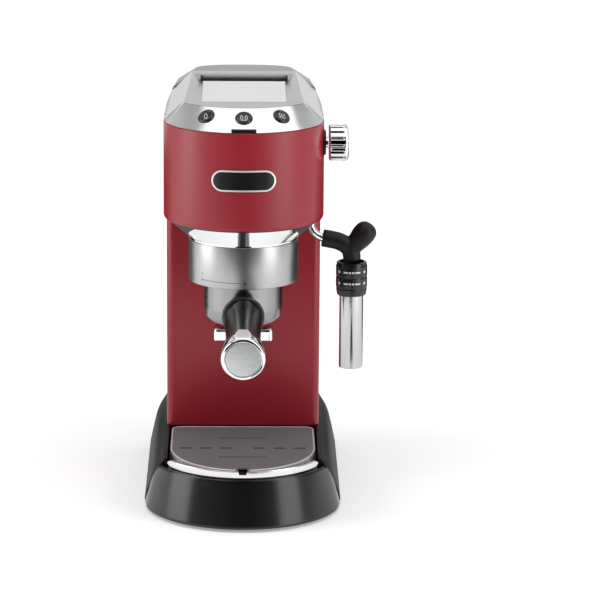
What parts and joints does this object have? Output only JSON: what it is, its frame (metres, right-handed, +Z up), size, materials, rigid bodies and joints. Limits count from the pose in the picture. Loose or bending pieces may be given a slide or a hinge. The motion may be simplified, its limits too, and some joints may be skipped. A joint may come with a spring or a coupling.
{
  "type": "espresso machine",
  "caption": "Slim pump espresso machine with a red column and head, bowed front, portafilter, steam wand, pull-out drip tray and rear water tank.",
  "frame": {"origin": "centre of the footprint, on the table plane that the feet stand on", "axes": "+Z up, -Y towards the front where the portafilter's handle points, +X towards the steam knob and wand"},
  "size_m": [0.1691, 0.332, 0.305],
  "materials": {
    "base_black": "satin",
    "panel_black": "satin",
    "foot_rubber": "matte",
    "grip_rubber": "matte",
    "red_paint": "satin",
    "chrome": "polished",
    "steel": "brushed",
    "polished_steel": "polished",
    "silver": "satin",
    "cast_metal": "cast",
    "brass": "machined",
    "grey_plastic": "matte",
    "smoked_plastic": "gloss",
    "red_plastic": "satin",
    "board": "satin"
  },
  "bodies": {
    "machine_body": {"base_housing": "base_black", "bottom_plate": "base_black", "foot_front_left": "foot_rubber", "foot_front_right": "foot_rubber", "foot_rear_left": "foot_rubber", "foot_rear_right": "foot_rubber", "inlet_gland": "foot_rubber", "switch_bezel": "panel_black", "column_shell": "red_paint", "head_shell": "red_paint", "head_underside": "panel_black", "rear_cover": "panel_black", "badge_rim": "chrome", "badge_face": "panel_black", "control_panel": "chrome", "panel_insert": "panel_black", "top_hood": "chrome", "cup_warmer_plate": "steel", "group_funnel": "chrome", "group_ring": "steel", "brew_head": "cast_metal", "group_seal": "foot_rubber", "shower_screen": "steel", "wand_socket": "panel_black", "pump": "grey_plastic", "pump_mount_lower": "foot_rubber", "pump_mount_upper": "foot_rubber", "thermoblock": "cast_metal", "pressure_hose": "grey_plastic", "steam_valve": "brass", "steam_feed_tube": "steel", "control_board": "board"},
    "drip_tray": {"drip_tray": "base_black", "tray_trim": "chrome"},
    "cup_grille": {"cup_grille": "polished_steel"},
    "tray_float": {"tray_float": "red_plastic"},
    "portafilter": {"filter_holder": "steel", "filter_basket": "steel", "twin_spout": "chrome", "handle_collar": "panel_black", "handle_grip": "panel_black", "handle_cap": "chrome", "cap_disc": "silver"},
    "steam_knob": {"steam_knob": "chrome", "knob_spindle": "chrome"},
    "steam_wand": {"steam_pipe": "steel", "wand_grip": "grip_rubber", "wand_sleeve": "steel", "wand_nozzle": "panel_black"},
    "selector_ring": {"selector_ring": "panel_black"},
    "single_shot_button": {"single_shot_button": "panel_black"},
    "double_shot_button": {"double_shot_button": "panel_black"},
    "steam_button": {"steam_button": "panel_black"},
    "water_tank": {"water_tank": "smoked_plastic", "tank_valve": "grey_plastic"},
    "tank_lid": {"tank_lid": "silver"},
    "power_switch": {"power_switch": "grey_plastic"}
  },
  "joints": [
    {"name": "drip_tray_pull", "type": "slide", "parent": "machine_body", "child": "drip_tray", "axis": [0, -1, 0], "range_m": [0, 0.13]},
    {"name": "cup_grille_lift", "type": "slide", "parent": "drip_tray", "child": "cup_grille", "axis": [0, 0, 1], "range_m": [0, 0.05]},
    {"name": "tray_float_rise", "type": "slide", "parent": "drip_tray", "child": "tray_float", "axis": [0, 0, 1], "range_m": [0, 0.006]},
    {"name": "portafilter_turn", "type": "hinge", "parent": "machine_body", "child": "portafilter", "pos_m": [0, -0.069, 0.1832], "axis": [0, 0, 1], "range_deg": [-48, 0]},
    {"name": "steam_knob_turn", "type": "hinge", "parent": "machine_body", "child": "steam_knob", "pos_m": [0.0612, -0.06, 0.2735], "axis": [1, 0, 0], "range_deg": [0, 180]},
    {"name": "steam_wand_swivel", "type": "hinge", "parent": "machine_body", "child": "steam_wand", "pos_m": [0.049, -0.054, 0.2155], "axis": [0, 0, 1], "range_deg": [-60, 60]},
    {"name": "selector_ring_slide", "type": "slide", "parent": "steam_wand", "child": "selector_ring", "axis": [0, 0, -1], "range_m": [0, 0.006]},
    {"name": "single_shot_button_press", "type": "slide", "parent": "machine_body", "child": "single_shot_button", "axis": [0.3777, 0.56, -0.7374], "range_m": [0, 0.0015], "stiffness_N_per_m": 300, "springref_m": -0.0015},
    {"name": "double_shot_button_press", "type": "slide", "parent": "machine_body", "child": "double_shot_button", "axis": [0, 0.6402, -0.7682], "range_m": [0, 0.0015], "stiffness_N_per_m": 300, "springref_m": -0.0015},
    {"name": "steam_button_press", "type": "slide", "parent": "machine_body", "child": "steam_button", "axis": [-0.3777, 0.56, -0.7374], "range_m": [0, 0.0015], "stiffness_N_per_m": 300, "springref_m": -0.0015},
    {"name": "water_tank_lift", "type": "slide", "parent": "machine_body", "child": "water_tank", "axis": [0, 0, 1], "range_m": [0, 0.12]},
    {"name": "tank_lid_hinge", "type": "hinge", "parent": "water_tank", "child": "tank_lid", "pos_m": [0, 0.1219, 0.2918], "axis": [-1, 0, 0], "range_deg": [0, 85]},
    {"name": "power_switch_rock", "type": "hinge", "parent": "machine_body", "child": "power_switch", "pos_m": [0.03, 0.1204, 0.024], "axis": [-1, 0, 0], "range_deg": [0, 12]}
  ]
}
